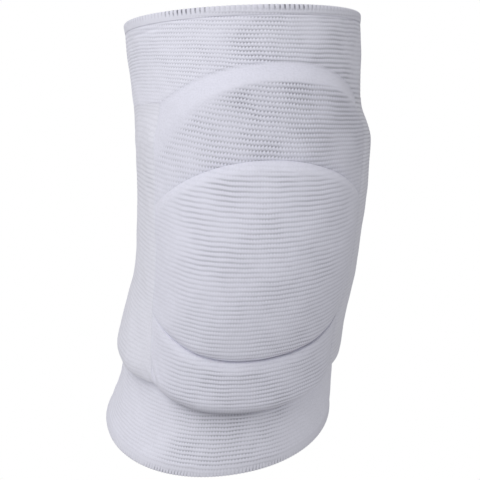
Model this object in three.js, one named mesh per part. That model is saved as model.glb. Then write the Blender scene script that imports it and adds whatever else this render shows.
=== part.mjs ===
import * as THREE from 'three';

// A knitted knee pad with foam lobes, in the form that it has on a slightly bent leg.
// Lengths are in millimetres and angles in degrees. Z runs up the leg, the pads face -Y,
// and the origin is the middle of the leg hollow at the height of the kneecap.

// Lengths along the leg, from the top rim down.
const TOP_CUFF = 27.5;
const UPPER_LOBE = 42.5;
const DOME_ABOVE = 49;
const DOME_BELOW = 36.6;
const LOWER_LOBE = 25.2;
const BOTTOM_CUFF = 31;
const WELT = 5;

// The knitted tube round the knee.
const KNEE_WIDTH = 112;
const KNEE_DEPTH = 106;
const KNIT_WALL = 2.2;
const WELT_BULGE = 0.3;
const KNEE_BEND = 29;
const SIDE_TILT = 7;
const ROUNDNESS = 2.1;

// Thickness of the foam over the tube.
const UPPER_FOAM = 9;
const DOME_FOAM = 18;
const DOME_RIM_FOAM = 12;
const LOWER_FOAM = 12;
const SEAM_FOAM = 6;
const LEFT_SIDE_FOAM = 3.2;
const RIGHT_SIDE_FOAM = 5.8;
const LEFT_SIDE_LOW_FOAM = 10;
const RIGHT_SIDE_LOW_FOAM = 5.6;
const EDGE_FOAM = 0.8;

// How the foam rounds off at its edges.
const TOP_SLOPE = 10;
const BOTTOM_ROUND = 6;
const CREASE_ROUND = 4.5;
const LOBE_CREASE_DEPTH = 1.2;
const DOME_CREASE_DEPTH = 3.6;
const SEAM_ROUND = 3;
const SEAM_DEPTH = 1.5;
const SIDE_TOP_SLOPE = 20;
const SIDE_BOTTOM_ROUND = 8;

// Half angles, seen from the middle of the leg, of the pads and of the side panels.
const PAD_SPREAD = 58;
const SIDE_SPREAD = 128;

// Room between neighbours.
const CLEARANCE = 0.3;

// Steps of the surfaces.
const AROUND = 48;
const ALONG = 22;
const PAD_ACROSS = 18;
const SIDE_ACROSS = 12;
const ROWS = { upper: 9, dome: 14, lower: 7 };
const WELT_SIDES = 8;

const PAD_TOP = DOME_ABOVE + UPPER_LOBE;
const PAD_BOTTOM = -(DOME_BELOW + LOWER_LOBE);
const TOP = PAD_TOP + TOP_CUFF;
const BOTTOM = PAD_BOTTOM - BOTTOM_CUFF;

// Sections of the tube. at is a share of the reach above or below the kneecap, side and width
// are shares of KNEE_WIDTH, back, front and rear of KNEE_DEPTH, lean of KNEE_BEND and tilt of
// SIDE_TILT.
const SECTIONS = [
  { at: -1, side: -0.095, back: 0.18, width: 1.09, front: 0.53, rear: 0.51, lean: -0.8, tilt: 0.95 },
  { at: -0.75, side: -0.062, back: 0.12, width: 1.03, front: 0.5, rear: 0.49, lean: -0.59, tilt: 1 },
  { at: -0.5, side: -0.05, back: 0.07, width: 0.99, front: 0.51, rear: 0.49, lean: -0.45, tilt: 0.6 },
  { at: 0, side: 0.01, back: 0, width: 0.99, front: 0.51, rear: 0.49, lean: -0.17, tilt: 0.17 },
  { at: 0.38, side: 0.04, back: 0.03, width: 1.03, front: 0.53, rear: 0.51, lean: 0.1, tilt: 0 },
  { at: 0.75, side: 0.03, back: 0.085, width: 1.08, front: 0.55, rear: 0.53, lean: 0.31, tilt: 0.1 },
  { at: 1, side: 0.02, back: 0.13, width: 1.11, front: 0.565, rear: 0.55, lean: 0.325, tilt: 0.16 },
];

// Edge lines of the pads. left and right say how far the line has moved along the leg where it
// meets each side seam, as a share of the length named in of. The powers say how late it bends
// on its way there. apex and the two spreads are shares of PAD_SPREAD.
const EDGES = {
  top: {
    at: PAD_TOP, of: UPPER_LOBE, left: -0.38, right: -0.35,
    leftPower: 1.7, rightPower: 2.6, apex: 0.07, leftSpread: 0.97, rightSpread: 1,
  },
  domeTop: {
    at: DOME_ABOVE, of: DOME_ABOVE, left: -0.42, right: -0.38,
    leftPower: 2, rightPower: 2, apex: 0, leftSpread: 1, rightSpread: 0.96,
  },
  domeBottom: {
    at: -DOME_BELOW, of: DOME_BELOW, left: 0.45, right: 0.34,
    leftPower: 2.2, rightPower: 2.2, apex: 0, leftSpread: 0.94, rightSpread: 0.86,
  },
  bottom: {
    at: PAD_BOTTOM, of: LOWER_LOBE, left: 0.4, right: 0.22,
    leftPower: 2.5, rightPower: 2.5, apex: 0.2, leftSpread: 0.84, rightSpread: 0.84,
  },
};

// The side panels. drop is how far the lower edge sinks towards the back, as a share of
// LOWER_LOBE, reached at the share sunk of the panel's width.
const PANELS = {
  left: { side: -1, foam: LEFT_SIDE_FOAM, lowFoam: LEFT_SIDE_LOW_FOAM, drop: -0.08 },
  right: { side: 1, foam: RIGHT_SIDE_FOAM, lowFoam: RIGHT_SIDE_LOW_FOAM, drop: 0.1 },
};
const SUNK = 0.6;
const LOW_FOAM_REACH = 0.36;
const SEAM_BLEND = 0.25;
const FADE_START = 0.1;

// How late the foam thins towards the side seams, and how much of the dome's crease depth is
// left where it meets them.
const LOBE_POWER = 3;
const BULGE_POWER = 2.5;
const END_CREASE = 0.35;

// How square the welts' section is: 1 is round.
const WELT_SQUARE = 0.5;

const clamp = (x) => Math.min(1, Math.max(0, x));
const mix = (a, b, t) => a + (b - a) * t;
const radians = THREE.MathUtils.degToRad;

function smooth(x) {
  const t = clamp(x);
  return t * t * (3 - 2 * t);
}

// A quarter circle, from 0 at its foot to 1 where it is level.
function quarter(x) {
  return Math.sqrt(1 - (1 - clamp(x)) ** 2);
}

// The slope of column at row i, from its neighbours on both sides.
function slope(rows, i, column) {
  const before = rows[Math.max(i - 1, 0)];
  const here = rows[i];
  const after = rows[Math.min(i + 1, rows.length - 1)];
  const down = here.w - before.w;
  const up = after.w - here.w;
  if (down === 0) return (after[column] - here[column]) / up;
  if (up === 0) return (here[column] - before[column]) / down;
  const rise = (after[column] - here[column]) / up;
  const fall = (here[column] - before[column]) / down;
  return (rise * down + fall * up) / (down + up);
}

const sections = SECTIONS.map((row) => ({
  w: row.at * (row.at < 0 ? -BOTTOM : TOP),
  side: row.side * KNEE_WIDTH,
  back: row.back * KNEE_DEPTH,
  halfWidth: (row.width * KNEE_WIDTH) / 2,
  front: row.front * KNEE_DEPTH,
  rear: row.rear * KNEE_DEPTH,
  lean: radians(row.lean * KNEE_BEND),
  tilt: radians(row.tilt * SIDE_TILT),
}));

// The tube's section at the height w, by a smooth cubic between the rows of the table.
function sectionAt(w) {
  const last = sections.length - 2;
  const next = sections.findIndex((row) => row.w > w);
  const i = next < 0 ? last : Math.min(Math.max(next - 1, 0), last);
  const [low, high] = [sections[i], sections[i + 1]];
  const span = high.w - low.w;
  const t = (w - low.w) / span;
  const found = {};
  for (const column of Object.keys(low)) {
    found[column] =
      (2 * t ** 3 - 3 * t ** 2 + 1) * low[column] +
      (t ** 3 - 2 * t ** 2 + t) * span * slope(sections, i, column) +
      (3 * t ** 2 - 2 * t ** 3) * high[column] +
      (t ** 3 - t ** 2) * span * slope(sections, i + 1, column);
  }
  return found;
}

const signedPower = (x, power) => Math.sign(x) * Math.abs(x) ** power;

// The point at angle phi round the leg, 0 at the front and growing towards +X, at the height w
// along the leg, and out from the tube's outer face by lift.
function legPoint(phi, w, lift) {
  const s = sectionAt(w);
  const depth = Math.cos(phi) > 0 ? s.front : s.rear;
  const x = s.halfWidth * signedPower(Math.sin(phi), 2 / ROUNDNESS);
  const y = -depth * signedPower(Math.cos(phi), 2 / ROUNDNESS);
  const normalX = signedPower(x / s.halfWidth, ROUNDNESS - 1) / s.halfWidth;
  const normalY = signedPower(y / depth, ROUNDNESS - 1) / depth;
  const out = lift / Math.hypot(normalX, normalY);
  const across = new THREE.Vector3(Math.cos(s.tilt), 0, Math.sin(s.tilt));
  const behind = new THREE.Vector3(
    Math.sin(s.lean) * Math.sin(s.tilt),
    Math.cos(s.lean),
    -Math.sin(s.lean) * Math.cos(s.tilt),
  );
  return new THREE.Vector3(s.side, s.back, w)
    .addScaledVector(across, x + normalX * out)
    .addScaledVector(behind, y + normalY * out);
}

// The end of an edge line at one side seam: the angle and the height.
function seamEnd(edge, side) {
  const [shift, spread] = side < 0 ? [edge.left, edge.leftSpread] : [edge.right, edge.rightSpread];
  return { phi: side * radians(spread * PAD_SPREAD), w: edge.at + shift * edge.of };
}

// The height of an edge line at the angle phi.
function edgeHeight(edge, phi) {
  const apex = radians(edge.apex * PAD_SPREAD);
  const side = phi < apex ? -1 : 1;
  const end = seamEnd(edge, side);
  const share = Math.abs((phi - apex) / (end.phi - apex));
  const power = side < 0 ? edge.leftPower : edge.rightPower;
  return edge.at + (end.w - edge.at) * share ** power;
}

// A closed slab on the tube from a grid of { phi, w, foam } rows.
function slab(grid) {
  const rows = grid.length;
  const columns = grid[0].length;
  const positions = [];
  for (const row of grid) {
    for (const cell of row) positions.push(...legPoint(cell.phi, cell.w, CLEARANCE));
  }
  for (const row of grid) {
    for (const cell of row) {
      positions.push(...legPoint(cell.phi, cell.w, CLEARANCE + Math.max(cell.foam, EDGE_FOAM)));
    }
  }
  const outer = rows * columns;
  const inside = (i, j) => i * columns + j;
  const outside = (i, j) => outer + i * columns + j;
  const indices = [];
  const quad = (a, b, c, d) => indices.push(a, b, c, a, c, d);
  for (let i = 0; i < rows - 1; i += 1) {
    for (let j = 0; j < columns - 1; j += 1) {
      quad(outside(i, j), outside(i, j + 1), outside(i + 1, j + 1), outside(i + 1, j));
      quad(inside(i, j), inside(i + 1, j), inside(i + 1, j + 1), inside(i, j + 1));
    }
  }
  for (let j = 0; j < columns - 1; j += 1) {
    quad(inside(0, j), inside(0, j + 1), outside(0, j + 1), outside(0, j));
    quad(outside(rows - 1, j), outside(rows - 1, j + 1), inside(rows - 1, j + 1), inside(rows - 1, j));
  }
  for (let i = 0; i < rows - 1; i += 1) {
    quad(outside(i, 0), outside(i + 1, 0), inside(i + 1, 0), inside(i, 0));
    const end = columns - 1;
    quad(inside(i, end), inside(i + 1, end), outside(i + 1, end), outside(i, end));
  }
  return geometryOf(positions, indices);
}

// A closed ring round the leg. ring holds the { w, lift } points of its section, in order.
function ringSolid(ring) {
  const positions = [];
  for (const point of ring) {
    for (let j = 0; j < AROUND; j += 1) {
      positions.push(...legPoint((2 * Math.PI * j) / AROUND, point.w, point.lift));
    }
  }
  const indices = [];
  for (let i = 0; i < ring.length; i += 1) {
    const near = i * AROUND;
    const far = ((i + 1) % ring.length) * AROUND;
    for (let j = 0; j < AROUND; j += 1) {
      const next = (j + 1) % AROUND;
      indices.push(near + j, near + next, far + next, near + j, far + next, far + j);
    }
  }
  return geometryOf(positions, indices);
}

function geometryOf(positions, indices) {
  const geometry = new THREE.BufferGeometry();
  geometry.setAttribute('position', new THREE.Float32BufferAttribute(positions, 3));
  geometry.setIndex(indices);
  geometry.computeVertexNormals();
  return geometry;
}

// Shares from 0 to 1, closer together at both ends.
function eased(steps) {
  return Array.from({ length: steps + 1 }, (_, i) => (1 - Math.cos((Math.PI * i) / steps)) / 2);
}

function even(steps) {
  return Array.from({ length: steps + 1 }, (_, i) => i / steps);
}

// How much lower the foam lies near a side seam, distance away from it.
const seamDrop = (distance) => SEAM_DEPTH * (1 - quarter(distance / SEAM_ROUND));
const creaseDrop = (distance, depth) => depth * (1 - quarter(distance / CREASE_ROUND));

// The foam of each pad. across is 0 in the middle and 1 at a side seam, below and above are
// the lengths to the pad's lower and upper edges.
const PAD_SHAPES = {
  upper: (across, below, above) => {
    const level = mix(UPPER_FOAM, SEAM_FOAM, across ** LOBE_POWER);
    const body = level - creaseDrop(below, LOBE_CREASE_DEPTH);
    return { body, edge: smooth(above / TOP_SLOPE) };
  },
  dome: (across, below, above) => {
    const middle = 1 - Math.abs((below - above) / (below + above)) ** 2;
    const level = 1 - across ** LOBE_POWER;
    const rim = mix(SEAM_FOAM, DOME_RIM_FOAM, level);
    const bulge = (DOME_FOAM - DOME_RIM_FOAM) * middle * (1 - across ** BULGE_POWER);
    const drop = creaseDrop(Math.min(below, above), DOME_CREASE_DEPTH) * mix(END_CREASE, 1, level);
    return { body: rim + bulge - drop, edge: 1 };
  },
  lower: (across, below, above) => {
    const level = mix(LOWER_FOAM, SEAM_FOAM, across ** LOBE_POWER);
    const body = level - creaseDrop(above, LOBE_CREASE_DEPTH);
    return { body, edge: quarter(below / BOTTOM_ROUND) };
  },
};

// A pad between two edge lines, with half a clearance taken off all round.
function padGeometry(lower, upper, rows, shape) {
  const radius = KNEE_WIDTH / 2;
  const grid = eased(rows).map((up) => eased(PAD_ACROSS).map((share) => {
    const side = share < 0.5 ? -1 : 1;
    const across = Math.abs(2 * share - 1);
    const low = seamEnd(lower, side).phi * across;
    const high = seamEnd(upper, side).phi * across;
    const lowest = edgeHeight(lower, low);
    const highest = edgeHeight(upper, high);
    const below = up * (highest - lowest);
    const above = (1 - up) * (highest - lowest);
    const reach = Math.abs(mix(seamEnd(lower, side).phi, seamEnd(upper, side).phi, up)) * radius;
    const inset = 1 - CLEARANCE / 2 / reach;
    const found = shape(across, below, above);
    const body = found.body - seamDrop((1 - across) * reach);
    return {
      phi: mix(low, high, up) * inset,
      w: mix(lowest + CLEARANCE / 2, highest - CLEARANCE / 2, up),
      foam: EDGE_FOAM + (body - EDGE_FOAM) * found.edge,
    };
  }));
  return slab(grid);
}

// The places along a side seam, from the bottom up, that the panel shares with the pads.
function seamPlaces(side) {
  const stretches = [
    [EDGES.bottom, EDGES.domeBottom, ROWS.lower],
    [EDGES.domeBottom, EDGES.domeTop, ROWS.dome],
    [EDGES.domeTop, EDGES.top, ROWS.upper],
  ];
  const places = [seamEnd(EDGES.bottom, side)];
  for (const [lower, upper, rows] of stretches) {
    const from = seamEnd(lower, side);
    const to = seamEnd(upper, side);
    for (const up of eased(rows).slice(1)) {
      places.push({ phi: mix(from.phi, to.phi, up), w: mix(from.w, to.w, up) });
    }
  }
  return places;
}

// A side panel, from the pads' seam round to the back of the leg, where it thins out.
function panelGeometry(panel) {
  const radius = KNEE_WIDTH / 2;
  const places = seamPlaces(panel.side);
  const [bottom, top] = [places[0].w, places[places.length - 1].w];
  const gapTurn = (panel.side * CLEARANCE) / 2 / radius;
  const order = panel.side < 0 ? even(SIDE_ACROSS).reverse() : even(SIDE_ACROSS);
  const grid = places.map((place) => order.map((across) => {
    const up = (place.w - bottom) / (top - bottom);
    const sink = panel.drop * LOWER_LOBE * smooth(across / SUNK);
    const w = place.w - sink * (1 - up);
    const phi = mix(place.phi + gapTurn, panel.side * radians(SIDE_SPREAD), across);
    const level = mix(panel.lowFoam, panel.foam, smooth(up / LOW_FOAM_REACH));
    const rise = mix(SEAM_FOAM, level, smooth(across / SEAM_BLEND));
    const fade = 1 - smooth((across - FADE_START) / (1 - FADE_START));
    const drop = seamDrop(Math.abs(phi - place.phi) * radius);
    const foot = quarter((w - bottom + sink) / SIDE_BOTTOM_ROUND);
    const head = smooth((top - w) / SIDE_TOP_SLOPE);
    return { phi, w, foam: EDGE_FOAM + (rise * fade - drop - EDGE_FOAM) * foot * head };
  }));
  return slab(grid);
}

// The knitted tube, from welt to welt.
function sleeveGeometry() {
  const low = BOTTOM + WELT + CLEARANCE;
  const high = TOP - WELT - CLEARANCE;
  const outside = even(ALONG).map((up) => ({ w: mix(low, high, up), lift: 0 }));
  const inside = even(ALONG).map((up) => ({ w: mix(high, low, up), lift: -KNIT_WALL }));
  return ringSolid([...outside, ...inside]);
}

// A turned hem with rounded edges, between the heights low and high.
function weltGeometry(low, high) {
  const thickness = KNIT_WALL + 2 * WELT_BULGE;
  const ring = Array.from({ length: WELT_SIDES }, (_, i) => {
    const turn = (2 * Math.PI * (i + 0.5)) / WELT_SIDES;
    return {
      w: (low + high) / 2 - ((high - low) / 2) * signedPower(Math.cos(turn), WELT_SQUARE),
      lift: -KNIT_WALL / 2 + (thickness / 2) * signedPower(Math.sin(turn), WELT_SQUARE),
    };
  });
  return ringSolid(ring);
}

function piece(name, geometry, color, roughness) {
  const material = new THREE.MeshStandardMaterial({ color, roughness, metalness: 0 });
  const mesh = new THREE.Mesh(geometry, material);
  mesh.name = name;
  return mesh;
}

const upperPad = padGeometry(EDGES.domeTop, EDGES.top, ROWS.upper, PAD_SHAPES.upper);
const kneeDome = padGeometry(EDGES.domeBottom, EDGES.domeTop, ROWS.dome, PAD_SHAPES.dome);
const lowerPad = padGeometry(EDGES.bottom, EDGES.domeBottom, ROWS.lower, PAD_SHAPES.lower);

const kneePad = new THREE.Group();
kneePad.add(
  piece('sleeve', sleeveGeometry(), 0xdcdce6, 0.92),
  piece('upper_pad', upperPad, 0xe0e0ea, 0.9),
  piece('knee_dome', kneeDome, 0xdadae4, 0.9),
  piece('lower_pad', lowerPad, 0xd8d8e2, 0.9),
  piece('side_panel_left', panelGeometry(PANELS.left), 0xdedee8, 0.92),
  piece('side_panel_right', panelGeometry(PANELS.right), 0xd6d6e0, 0.92),
  piece('top_welt', weltGeometry(TOP - WELT, TOP), 0xe4e4ec, 0.9),
  piece('bottom_welt', weltGeometry(BOTTOM, BOTTOM + WELT), 0xe2e2ea, 0.9),
);

export default kneePad;
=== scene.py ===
from math import cos, pi, radians, sin

import bpy
import numpy as np
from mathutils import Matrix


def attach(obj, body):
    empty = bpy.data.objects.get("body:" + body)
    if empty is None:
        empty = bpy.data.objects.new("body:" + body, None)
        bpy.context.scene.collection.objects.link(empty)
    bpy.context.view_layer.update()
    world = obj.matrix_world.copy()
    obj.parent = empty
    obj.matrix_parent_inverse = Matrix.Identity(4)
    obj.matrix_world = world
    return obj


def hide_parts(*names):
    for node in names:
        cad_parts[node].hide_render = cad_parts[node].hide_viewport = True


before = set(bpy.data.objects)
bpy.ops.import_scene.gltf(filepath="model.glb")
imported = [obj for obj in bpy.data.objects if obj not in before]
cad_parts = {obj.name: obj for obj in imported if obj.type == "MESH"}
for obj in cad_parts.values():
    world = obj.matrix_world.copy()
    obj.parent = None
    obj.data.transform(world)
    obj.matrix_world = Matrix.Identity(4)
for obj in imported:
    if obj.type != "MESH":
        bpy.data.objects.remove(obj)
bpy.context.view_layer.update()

# A white knitted knee pad in the form that it has on a slightly bent leg. Lengths are in
# millimetres until a mesh is made, which is in metres. Z runs up the leg, the pads face -Y,
# and the origin is the middle of the leg hollow at the kneecap. Angles round the leg are 0 at
# the front and grow towards +X, the viewer's right, and in degrees where nothing else is said.
MM = 0.001

# Lengths along the leg, from the top rim down.
TOP_CUFF = 27.5
UPPER_LOBE = 42.5
DOME_ABOVE = 49.0
DOME_BELOW = 36.6
LOWER_LOBE = 25.2
BOTTOM_CUFF = 31.0
WELT = 5.0

# The knitted tube round the knee.
KNEE_WIDTH = 112.0
KNEE_DEPTH = 106.0
KNIT_WALL = 2.2
KNEE_BEND = 29.0
SIDE_TILT = 7.0
ROUNDNESS = 2.1

# Thickness of the foam over the tube.
UPPER_FOAM = 9.0
DOME_FOAM = 18.0
DOME_RIM_FOAM = 12.0
LOWER_FOAM = 12.0
SEAM_FOAM = 6.0

# How the foam rounds off at its edges.
TOP_SLOPE = 10.0
BOTTOM_ROUND = 6.0
CREASE_ROUND = 4.5
LOBE_CREASE_DEPTH = 1.2
DOME_CREASE_DEPTH = 3.6
SEAM_ROUND = 3.0
SIDE_TOP_SLOPE = 20.0
SIDE_BOTTOM_ROUND = 8.0

# How far round the leg the pads and the side panels reach.
PAD_SPREAD = 58.0
SIDE_SPREAD = 128.0

PAD_TOP = DOME_ABOVE + UPPER_LOBE
PAD_BOTTOM = -(DOME_BELOW + LOWER_LOBE)
TOP = PAD_TOP + TOP_CUFF
BOTTOM = PAD_BOTTOM - BOTTOM_CUFF

# Sections of the tube. Each row says at which share of the reach above or below the kneecap it
# is, then side, back, width, front, rear, lean and tilt. side and width are shares of
# KNEE_WIDTH, back, front and rear of KNEE_DEPTH, lean of KNEE_BEND and tilt of SIDE_TILT.
SECTIONS = (
    (-1, -0.095, 0.18, 1.09, 0.53, 0.51, -0.8, 0.95),
    (-0.75, -0.062, 0.12, 1.03, 0.5, 0.49, -0.59, 1),
    (-0.5, -0.05, 0.07, 0.99, 0.51, 0.49, -0.45, 0.6),
    (0, 0.01, 0, 0.99, 0.51, 0.49, -0.17, 0.17),
    (0.38, 0.04, 0.03, 1.03, 0.53, 0.51, 0.1, 0),
    (0.75, 0.03, 0.085, 1.08, 0.55, 0.53, 0.31, 0.1),
    (1, 0.02, 0.13, 1.11, 0.565, 0.55, 0.325, 0.16),
)

# Edge lines of the pads. left and right say how far the line has moved along the leg where it
# meets each side seam, as a share of the length in of. The powers say how late it bends on its
# way there. apex and the two spreads are shares of PAD_SPREAD.
EDGES = {
    "top": dict(at=PAD_TOP, of=UPPER_LOBE, left=-0.38, right=-0.35, apex=0.07,
                left_power=1.7, right_power=2.6, left_spread=0.97, right_spread=1),
    "dome_top": dict(at=DOME_ABOVE, of=DOME_ABOVE, left=-0.42, right=-0.38, apex=0,
                     left_power=2, right_power=2, left_spread=1, right_spread=0.96),
    "dome_bottom": dict(at=-DOME_BELOW, of=DOME_BELOW, left=0.45, right=0.34, apex=0,
                        left_power=2.2, right_power=2.2, left_spread=0.94, right_spread=0.86),
    "bottom": dict(at=PAD_BOTTOM, of=LOWER_LOBE, left=0.4, right=0.22, apex=0.2,
                   left_power=2.5, right_power=2.5, left_spread=0.84, right_spread=0.84),
}

# The side panels: their foam high up and low down, and how far the lower edge sinks to the
# back, as a share of LOWER_LOBE. SUNK, SEAM_BLEND and FADE_START are shares of the way round to
# the panel's back edge: where it has sunk, where it has its full thickness and where it starts
# to thin out. The low foam reaches up to the share LOW_FOAM_REACH of its height.
PANELS = {
    "side_panel_left": dict(side=-1, foam=3.2, low_foam=10.0, drop=-0.08),
    "side_panel_right": dict(side=1, foam=5.8, low_foam=5.6, drop=0.1),
}
SUNK = 0.6
SEAM_BLEND = 0.25
FADE_START = 0.1
LOW_FOAM_REACH = 0.36

# How the foam sinks from the middle of a lobe to its side seams. END_CREASE is the share of a
# crease's depth that is left at the seams. Beside the left one the lobes are nearly level, over
# about the share SEAM_EASE of the way to it, which starts between the shares of LEVEL_FROM.
LOBE_POWER = 3
BULGE_POWER = 2.5
END_CREASE = 0.06
SEAM_EASE = 0.1
LEVEL_FROM = (0.3, 0.8)

# The knit: ribs round the leg, and ROWS_PER_RIB rows of faces to shape each of them. At the
# sides the knit is pulled flat, so its ribs are lower there, and least between the two angles
# of FLAT_SIDES. Above the kneecap the middle of the ribbed front moves by UPPER_TURN to the
# right, over a height of UPPER_TURN_OVER.
RIB_PITCH = 2.07
RIB_HEIGHT = 0.085
ROWS_PER_RIB = 7
HIDDEN_ROWS_PER_RIB = 3
FLAT_SIDES = (46.0, 95.0)
BACK_RIBS = 0.65
BACK_RIBS_OVER = 30.0
UPPER_TURN = 18.0
UPPER_TURN_OVER = 20.0

# Where the lower cuff is nearly flat: by what share its ribs are lower, at which angles that
# starts and ends, and how far above the pads' lower edge it starts and is full.
FLAT_CUFF = dict(share=0.8, start=(15, 29), end=(100, 70), above=(7, 1))

# How the ribs run at some heights. gather is how far the ribs have crept up to lie closer below,
# sink is how far they sink for each millimetre to the viewer's right at the front, and turn is
# how fast that becomes a rise. ribs and sides say how high they stand at the front and at the
# sides. RIB_REACH is how far from the front they stop bending, and SINK_FADE where they stop
# sinking.
KNIT = (
    dict(at=-96, gather=-11.8, sink=0.04, turn=0.0, ribs=1.0, sides=0.22),
    dict(at=-60, gather=-6.8, sink=0.03, turn=0.001, ribs=1.0, sides=0.25),
    dict(at=-35, gather=-4.3, sink=0.0, turn=0.003, ribs=0.95, sides=0.2),
    dict(at=-10, gather=-1.8, sink=-0.04, turn=0.0038, ribs=0.76, sides=0.25),
    dict(at=25, gather=0.0, sink=0.0, turn=0.0038, ribs=0.95, sides=0.27),
    dict(at=45, gather=0.0, sink=0.04, turn=0.0036, ribs=1.05, sides=0.6),
    dict(at=70, gather=0.0, sink=0.14, turn=0.0038, ribs=1.3, sides=0.9),
    dict(at=85, gather=0.0, sink=0.1, turn=0.0033, ribs=1.5, sides=0.65),
    dict(at=105, gather=0.0, sink=0.045, turn=0.0026, ribs=0.95, sides=0.65),
)
RIB_REACH = 70.0
SINK_FADE = (70, 120)

# Irregular soft knit, as slanted waves. Each row is a wave's height, its lengths round and along
# the leg and where it starts in radians: how much higher some ribs stand, how far they wander,
# how uneven the foam is, and the pucker at the left seam.
RIB_PATCHES = ((0.08, 23, 41, 0), (0.08, 57, -29, 0))
WANDER = ((0.1, 33, 61, 0), (0.07, 17, -43, 0), (0.06, 8.5, 19, 0))
UNEVENNESS = ((0.2, 43, 71, 0), (0.13, 25, -33, 1.3), (0.07, 14, 17, 0.4))
PUCKER_WAVES = ((0.55, 5.75, 9.2, 0),)

# The small folds: where round the leg they are, their length and width, and the angle that they
# run at. The pucker lies above the left seam's end, and the crinkle below the upper hem.
PUCKER = dict(angle=-49, size=(7, 5), direction=60)
PUCKER_ABOVE = 3.0
CRINKLE = dict(angle=-62, size=(15, 1), direction=4)
CRINKLE_BELOW = 3.5
CRINKLE_DEPTH = 0.5

# Smooth bands of closer knit below the upper edge of each pad: how wide the band is, over what
# length the ribs come back, and how high they stand in it. The upper lobe's band widens to the
# left, and a few ribs show on its very edge.
UPPER_BAND = 8.0
UPPER_CORNER = 17.0
UPPER_BAND_FADES = (3.5, 8.5)
UPPER_RIM_RIBS = 0.6
UPPER_RIM_OVER = 2.2
DOME_BAND = dict(width=3.2, fade=3.5, ribs=0.2)
LOWER_BAND = dict(width=2.6, fade=2.0, ribs=0.35)

# The seams between the pads and the side panels. The left one starts below the kneecap and is
# shallower, with plainer knit beside it low down. The right one has a row of needle holes, and
# half its depth at the upper lobe. FAR is the distance given to knit that has no holes.
SEAM_DEPTH = 0.9
SEAM_GAP = 0.012
SEAM_STITCH = 2.6
LEFT_SEAM = dict(share=0.35, over=50, width=6.0)
LEFT_PLAIN = dict(share=0.75, width=5, heights=(-10, -25))
UPPER_SEAM_SHARE = 0.5
HOLES_FROM_SEAM = 1.1
FAR = 30.0

# How far the lower edges hang over the cuff, and at which share of their rounding they are
# lowest.
LIP = 1.4
SIDE_LIP = 1.6
LIP_LOWEST = 0.12

# The fold below the lower lobe, with painted shadow in it: its middle, its reach and the last
# of it round the leg in radians, then its depth and height, and how dark its painted shadow is.
# EDGE_SHADES says how dark the painted shade at each lower edge is, and how wide that is.
SHADOW_MIDDLE = -0.12
SHADOW_REACH = 0.52
SHADOW_END = 0.8
NOTCH_DEPTH = 1.6
NOTCH_HEIGHT = 4.2
NOTCH_SHADE = 1.5
EDGE_SHADES = dict(upper=(0.04, 0.6), dome=(0.18, 0.8), lower=(1.3, 3.3), side=(0.4, 1.2))

# The skins of the padded pieces: how far they lie off the tube, the foam that is thick enough
# for full relief, and how far and over which angle the panels' back edges dip into the tube.
# LEFT_PANEL_RIBS is how high the ribs stand at the top of the left panel. The two eases say how
# much closer together the grids' rows and columns are at their ends.
SKIN = 0.1
RELIEF_FOAM = 1.5
BACK_EDGE_DIP = 0.5
BACK_EDGE_OVER = 4.0
LEFT_PANEL_RIBS = 0.25
PANEL_COLUMNS = 70
ROW_EASE = 0.25
COLUMN_EASE = 0.5

# Where the tube is under the pads: how deep it lies, over what length and angle that starts,
# and how far inside the edge lines its rows are coarser. PANEL_REACH is the way round a side
# panel in radians. END_ROW is how close the rows beside both ends lie, and ROW_LEAST the least
# length of a row before them. INNER_RIBS is how strongly the ribs show inside the tube.
COVERED_DEPTH = 0.4
COVER_FADE = 1.5
COVER_FADE_BEHIND = 2.0
PANEL_REACH = 0.8
COARSE_BELOW_TOP = 18.0
COARSE_ABOVE_BOTTOM = 14.0
INNER_ROWS = 26
INNER_RIBS = 0.5
END_ROW = 0.02
ROW_LEAST = 0.1

# The upper cuff: its tuck under the hem, a painted shade line in that fold, fainter on the right,
# and the smoother knit on the left round the height CALM_AT, which starts between the two angles
# of CALM_LEFT. The foam's unevenness ends over HEM_EASE before both hems.
TUCK = 0.3
TUCK_HEIGHT = 1.4
HEM_LINE = 0.35
HEM_LINE_WIDTH = 0.7
HEM_LINE_LEAST = 0.3
CALM_LEFT = (-34, -48)
CALM_AT = 78.0
CALM_REACH = 7.0
CALM_SHARE = 0.8
HEM_EASE = 6.0

# The folds behind the knee, which start over BACK_FOLD_START radians beyond the side panels.
BACK_FOLD = 0.5
BACK_FOLD_START = 0.4
BACK_FOLDS_AT = -8.0
BACK_FOLDS_REACH = 22.0
BACK_FOLDS_APART = 11.0

# The turned hems: each one's node, how strongly its overlock stitches show, and its form. rim
# is 1 where the free edge is the upper one, and -1 where it is the lower one, and pitch is how
# far apart the stitches are. They show best at TICKS_APART on both sides of TICKS_MIDDLE, and
# fade between the two distances of TICKS_FADE from there, in millimetres round the leg. On the
# way to the rim the bulge is full at the share BULGE_FULL, the stitches at OVERLOCK_FULL.
HEMS = {
    "top_hem": ("top_welt", 1.0, dict(low=TOP - WELT, high=TOP, rim=1, pitch=2.3)),
    "bottom_hem": ("bottom_welt", 0.6, dict(low=BOTTOM, high=BOTTOM + WELT, rim=-1, pitch=1.6)),
}
WELT_BULGE = 0.3
BULGE_FULL = 2 / 3
OVERLOCK_HEIGHT = 0.07
OVERLOCK_FULL = 0.625
OVERLOCK_TEETH = 0.08
OVERLOCK_INSIDE = 0.3
SHARP_EDGE = 0.03
ROUND_EDGE = 0.6
HEM_RIBS_END = (0.4, 0.65)
BARE_LEFT = (-20, -40)
TICKS_MIDDLE = -10.5
TICKS_APART = 23.0
TICKS_FADE = (16, 6)

# The foam is swollen by air pressure in a simulation on a coarse grid.
SWELL_STEPS = 20
SWELL_PRESSURE = 4.0
SWELL_MOST = 1.6
SWELL_START = 0.965
SWELL_GRID = 4.5
SWELL_THINNEST = 0.3
PAD_FILL = 0.8
SIDE_FILL = 0.5
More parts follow.
